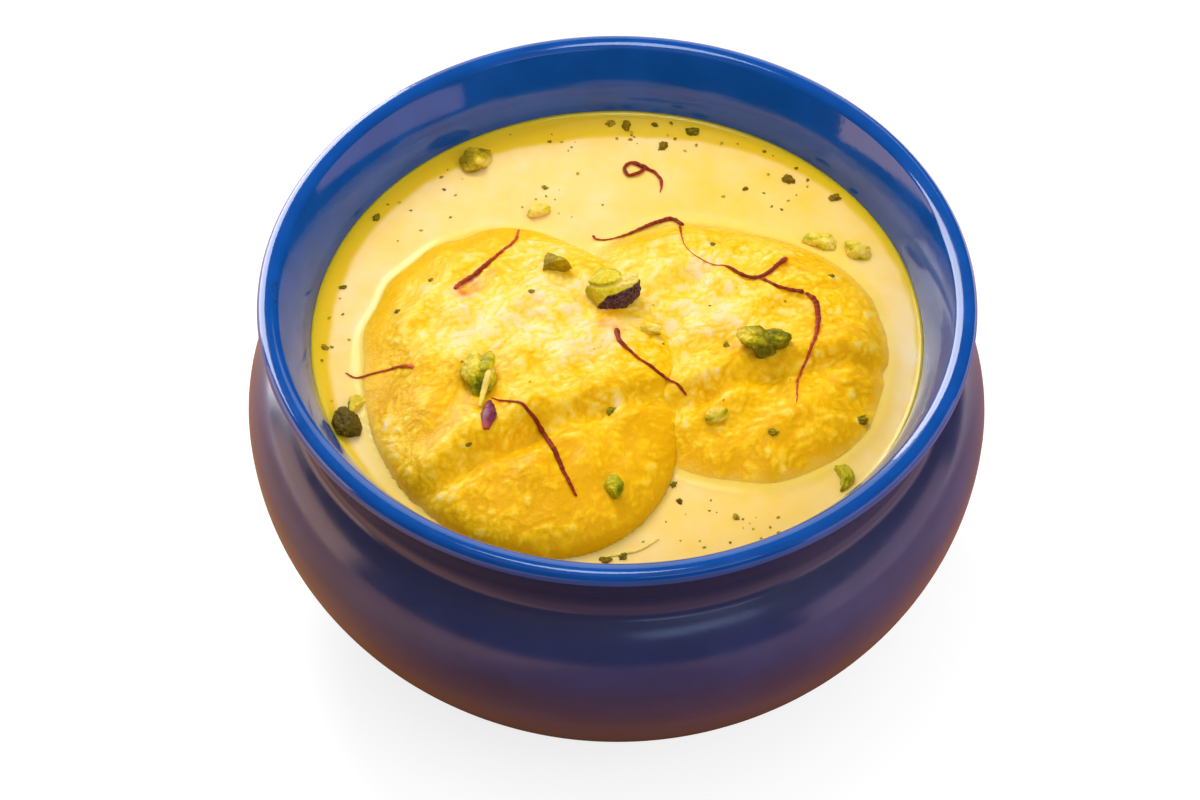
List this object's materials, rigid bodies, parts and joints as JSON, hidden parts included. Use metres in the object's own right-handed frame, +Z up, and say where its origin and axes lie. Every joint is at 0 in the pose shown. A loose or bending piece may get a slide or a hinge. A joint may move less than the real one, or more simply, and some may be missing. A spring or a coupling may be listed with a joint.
{
  "type": "bowl of rabri with cheese patties",
  "caption": "Round-bellied glazed bowl with a flared rim, filled with thick saffron milk, soft cheese patties, chopped pistachio and saffron threads.",
  "frame": {"origin": "middle of the foot's underside, on the surface that the bowl stands on", "axes": "+Z up, +Y to the back, +X to the right as seen from the front"},
  "size_m": [0.1268, 0.1268, 0.071],
  "materials": {
    "glaze": "smooth cobalt blue glaze, mirror gloss",
    "milk": "wet saffron milk, glossy",
    "patty": "moist crinkled cheese sponge, soft sheen",
    "pistachio": "chopped nut, green faces and dark skin",
    "saffron": "thin dry thread, dark red"
  },
  "bodies": {
    "root": {"bowl": "glaze", "milk": "milk", "patty_left": "patty", "patty_right": "patty", "pistachio_skinned_half": "pistachio", "pistachio_left_chunk": "pistachio", "pistachio_right_chunk": "pistachio", "pistachio_dark_wedge": "pistachio", "pistachio_front_chip": "pistachio", "pistachio_pale_chip": "pistachio", "pistachio_small_chip": "pistachio", "pistachio_wall_chunk": "pistachio", "pistachio_wall_flake": "pistachio", "pistachio_olive_chunk": "pistachio", "pistachio_back_chip": "pistachio", "pistachio_green_chip": "pistachio", "pistachio_green_flake": "pistachio", "pistachio_sliver": "pistachio"}
  },
  "joints": []
}
